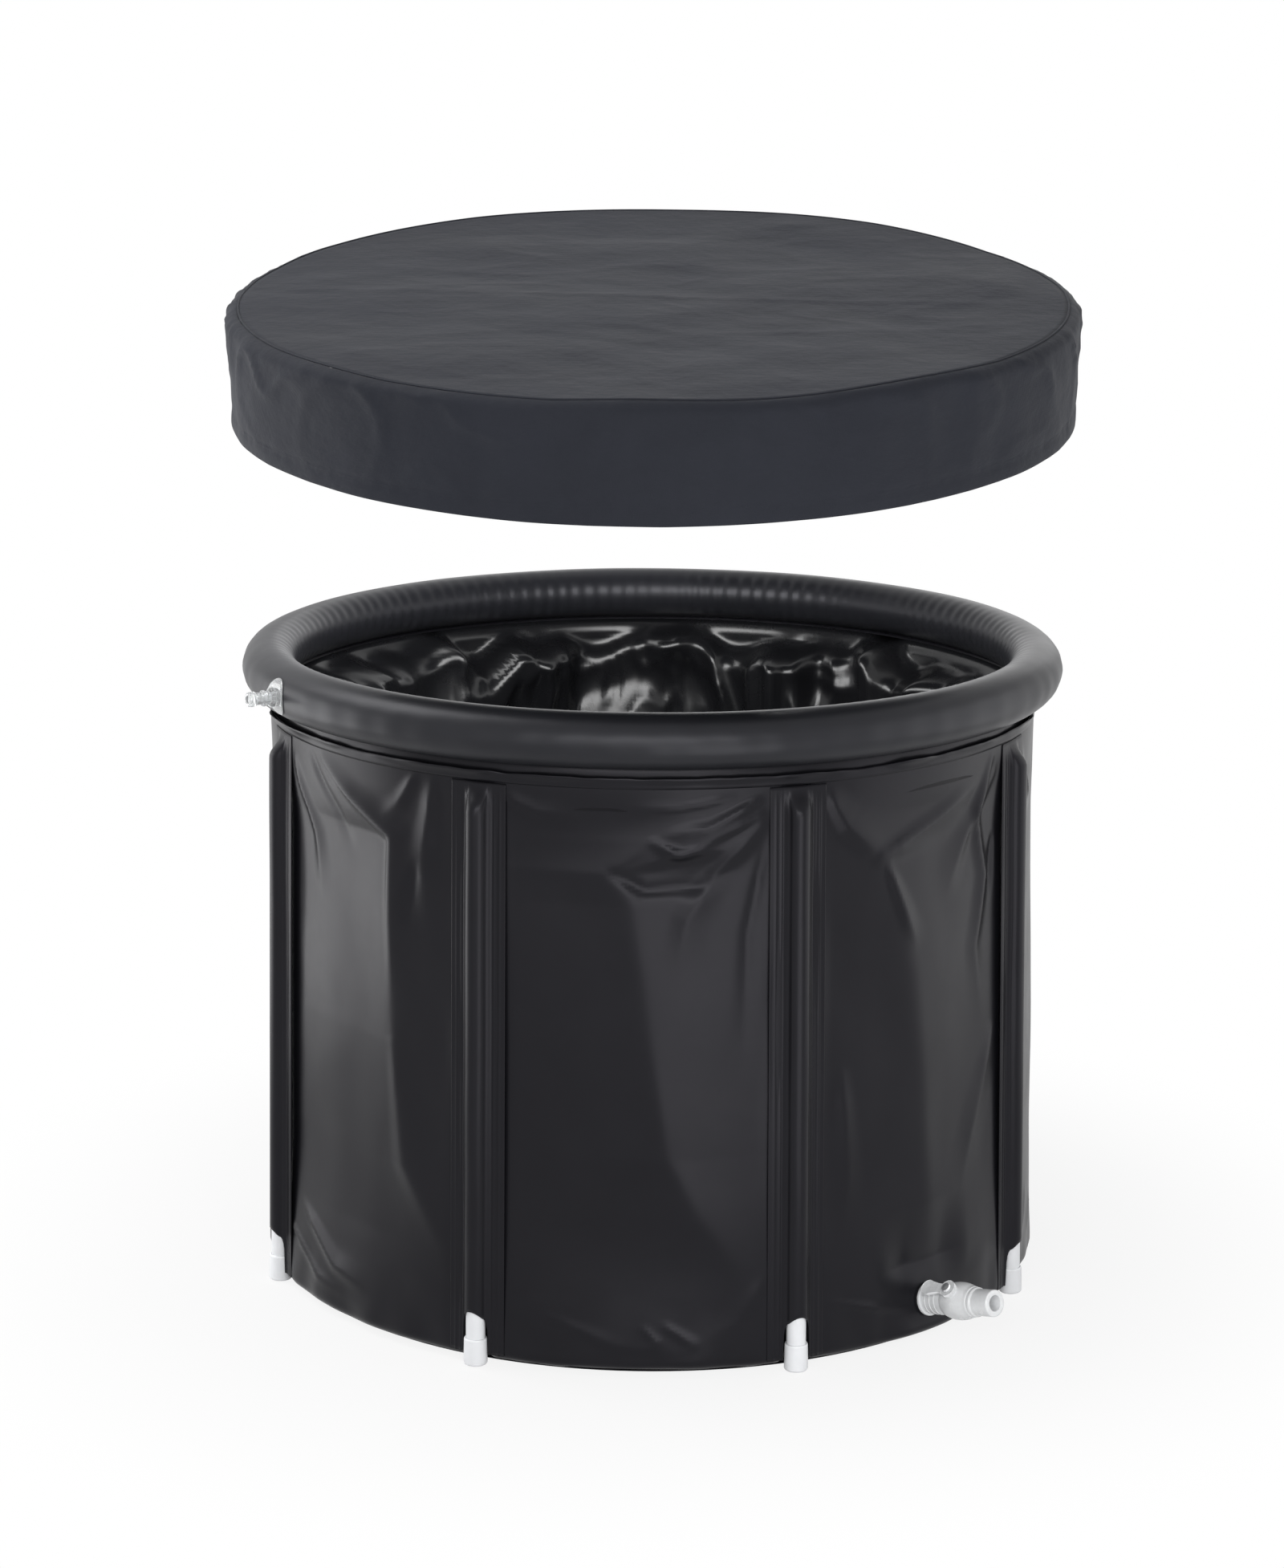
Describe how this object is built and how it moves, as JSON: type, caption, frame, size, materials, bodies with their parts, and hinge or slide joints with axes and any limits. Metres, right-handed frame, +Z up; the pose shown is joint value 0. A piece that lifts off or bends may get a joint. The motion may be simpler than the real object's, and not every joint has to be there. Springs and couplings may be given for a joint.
{
  "type": "cold plunge tub",
  "caption": "Portable round cold plunge tub with soft insulated walls on sleeved poles, an inflated rim, a ball valve drain and a lift-off cloth cover",
  "frame": {"origin": "centre of the base panel's underside, on the floor", "axes": "+Z up along the tub's axis; -Y is the front panel, between two poles; the drain is on the front right, at 45 degrees between -Y and +X"},
  "size_m": [0.9774, 0.9959, 1.2074],
  "materials": {
    "wall": "semi-gloss black coated cloth",
    "liner": "high-gloss black film",
    "foam": "closed-cell foam",
    "rim": "satin charcoal film, inflated",
    "pipe": "white pipe plastic",
    "valve": "white translucent moulded plastic",
    "rubber": "black rubber",
    "seat": "smooth white sealing plastic",
    "steel": "plain steel",
    "clear": "soft clear plastic",
    "cloth": "matte black woven nylon"
  },
  "bodies": {
    "tub": {"base_panel": "wall", "outer_wall": "wall", "rim_band": "wall", "inner_liner": "liner", "base_insulation": "foam", "wall_insulation": "foam", "air_ring": "rim", "air_valve_body": "clear", "pole_1": "pipe", "foot_cap_1": "pipe", "pole_sleeve_1": "wall", "pole_2": "pipe", "foot_cap_2": "pipe", "pole_sleeve_2": "wall", "pole_3": "pipe", "foot_cap_3": "pipe", "pole_sleeve_3": "wall", "pole_4": "pipe", "foot_cap_4": "pipe", "pole_sleeve_4": "wall", "pole_5": "pipe", "foot_cap_5": "pipe", "pole_sleeve_5": "wall", "pole_6": "pipe", "foot_cap_6": "pipe", "pole_sleeve_6": "wall", "pole_7": "pipe", "foot_cap_7": "pipe", "pole_sleeve_7": "wall", "pole_8": "pipe", "foot_cap_8": "pipe", "pole_sleeve_8": "wall", "drain_bulkhead": "valve", "drain_lock_nut": "valve", "valve_body": "valve", "valve_spout": "valve", "drain_gasket_outer": "rubber", "drain_gasket_inner": "rubber", "valve_seat_inlet": "seat", "valve_seat_outlet": "seat"},
    "drain_lever": {"valve_ball": "seat", "valve_stem": "valve", "stem_o_ring": "rubber", "valve_handle": "valve", "handle_screw": "steel"},
    "air_plug": {"air_valve_plug": "clear"},
    "cover": {"cover_top": "cloth", "cover_skirt": "cloth", "cover_hem_elastic": "rubber"}
  },
  "joints": [
    {"name": "cover_lift", "type": "hinge", "parent": "tub", "child": "cover", "pos_m": [0, -3.09, 0.7203], "axis": [1, 0, 0], "range_deg": [-7.35, 0], "deforming": ["air_valve_body", "air_valve_plug"]},
    {"name": "drain_turn", "type": "hinge", "parent": "tub", "child": "drain_lever", "pos_m": [0.36406, -0.36406, 0.05818], "axis": [0.6128, 0.3872, -0.6889], "range_deg": [0, 90]},
    {"name": "air_plug_pull", "type": "slide", "parent": "tub", "child": "air_plug", "axis": [-0.8599, -0.5105, 0], "range_m": [0, 0.02]}
  ]
}
